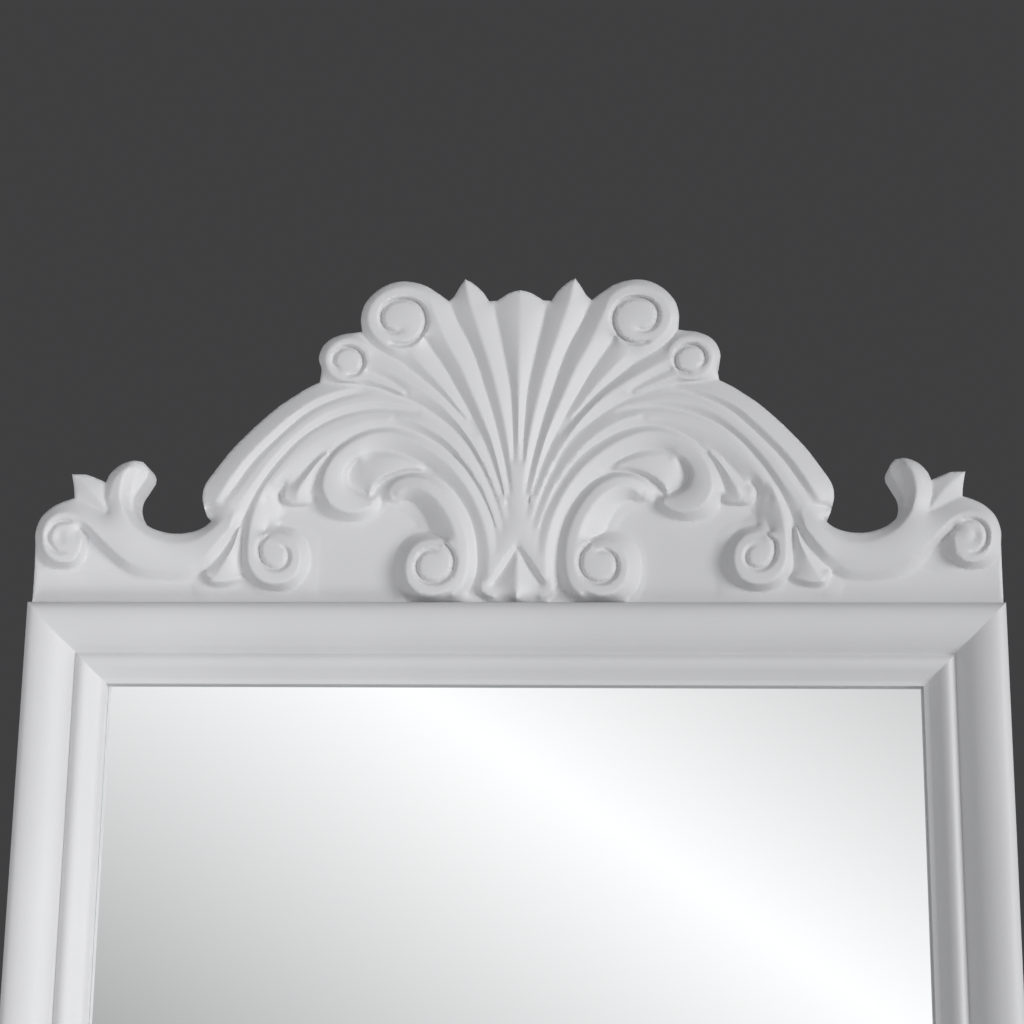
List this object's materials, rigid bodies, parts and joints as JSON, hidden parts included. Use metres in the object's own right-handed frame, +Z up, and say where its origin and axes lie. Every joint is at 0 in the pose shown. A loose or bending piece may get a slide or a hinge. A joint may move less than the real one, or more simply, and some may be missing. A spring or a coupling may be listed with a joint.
{
  "type": "cheval floor mirror",
  "caption": "Tall white framed floor mirror with a carved scroll and shell crest, tilting between two turned posts on scrolled feet.",
  "frame": {"origin": "on the floor, under the middle of the base", "axes": "+Z up, the mirror faces -Y, +X to the right as seen from the front"},
  "size_m": [0.5612, 0.482, 1.5999],
  "materials": {
    "white_paint": "satin white paint over carved wood",
    "mirror_silver": "silvered float glass",
    "backing_board": "raw brown hardboard",
    "zinc_steel": "zinc-plated steel",
    "brass": "plain brass",
    "glide_rubber": "matt black rubber",
    "nylon": "natural nylon",
    "white_plastic": "satin white moulded plastic"
  },
  "bodies": {
    "stand": {"left_post": "white_paint", "left_finial": "white_paint", "left_foot": "white_paint", "right_post": "white_paint", "right_finial": "white_paint", "right_foot": "white_paint", "glide_front_left": "glide_rubber", "glide_front_right": "glide_rubber", "glide_rear_left": "glide_rubber", "glide_rear_right": "glide_rubber", "stretcher": "white_paint", "foot_bolt_left": "zinc_steel", "foot_bolt_right": "zinc_steel", "stretcher_bolt_left": "zinc_steel", "stretcher_bolt_right": "zinc_steel", "bolt_cap_left": "white_plastic", "bolt_cap_right": "white_plastic"},
    "mirror": {"top_rail": "white_paint", "bottom_rail": "white_paint", "left_stile": "white_paint", "right_stile": "white_paint", "mirror_glass": "mirror_silver", "backing_board": "backing_board", "crest": "white_paint", "crest_plate_left": "zinc_steel", "crest_plate_right": "zinc_steel", "corner_bracket_bottom_left": "zinc_steel", "corner_bracket_bottom_right": "zinc_steel", "corner_bracket_top_left": "zinc_steel", "corner_bracket_top_right": "zinc_steel", "bracket_screw_bottom_left_rail": "zinc_steel", "bracket_screw_bottom_left_stile": "zinc_steel", "bracket_screw_bottom_right_rail": "zinc_steel", "bracket_screw_bottom_right_stile": "zinc_steel", "bracket_screw_top_left_rail": "zinc_steel", "bracket_screw_top_left_stile": "zinc_steel", "bracket_screw_top_right_rail": "zinc_steel", "bracket_screw_top_right_stile": "zinc_steel", "crest_screw_left_lower": "zinc_steel", "crest_screw_left_upper": "zinc_steel", "crest_screw_right_lower": "zinc_steel", "crest_screw_right_upper": "zinc_steel", "backing_tab_left_lower": "zinc_steel", "backing_tab_left_upper": "zinc_steel", "backing_tab_right_lower": "zinc_steel", "backing_tab_right_upper": "zinc_steel", "backing_tab_top": "zinc_steel", "backing_tab_bottom": "zinc_steel", "pivot_insert_left": "brass", "pivot_insert_right": "brass", "spacer_washer_left": "nylon", "spacer_washer_right": "nylon"},
    "clamp_left": {"clamp_washer_left": "zinc_steel"},
    "knob_left": {"knob_left": "white_paint", "pivot_stud_left": "zinc_steel"},
    "clamp_right": {"clamp_washer_right": "zinc_steel"},
    "knob_right": {"knob_right": "white_paint", "pivot_stud_right": "zinc_steel"}
  },
  "joints": [
    {"name": "mirror_tilt", "type": "hinge", "parent": "stand", "child": "mirror", "pos_m": [0, 0, 0.885], "axis": [1, 0, 0], "range_deg": [-30, 30]},
    {"name": "clamp_left_travel", "type": "slide", "parent": "mirror", "child": "clamp_left", "axis": [-1, 0, 0], "range_m": [0, 0.00125]},
    {"name": "knob_left_turn", "type": "hinge", "parent": "clamp_left", "child": "knob_left", "pos_m": [0, 0, 0.885], "axis": [-1, 0, 0], "range_deg": [0, 360]},
    {"name": "clamp_right_travel", "type": "slide", "parent": "mirror", "child": "clamp_right", "axis": [1, 0, 0], "range_m": [0, 0.00125]},
    {"name": "knob_right_turn", "type": "hinge", "parent": "clamp_right", "child": "knob_right", "pos_m": [0, 0, 0.885], "axis": [1, 0, 0], "range_deg": [0, 360]}
  ],
  "couplings": [
    {"joint": "knob_left_turn", "follows": "clamp_left_travel", "rad_per_m": 5026.5},
    {"joint": "knob_right_turn", "follows": "clamp_right_travel", "rad_per_m": 5026.5}
  ]
}
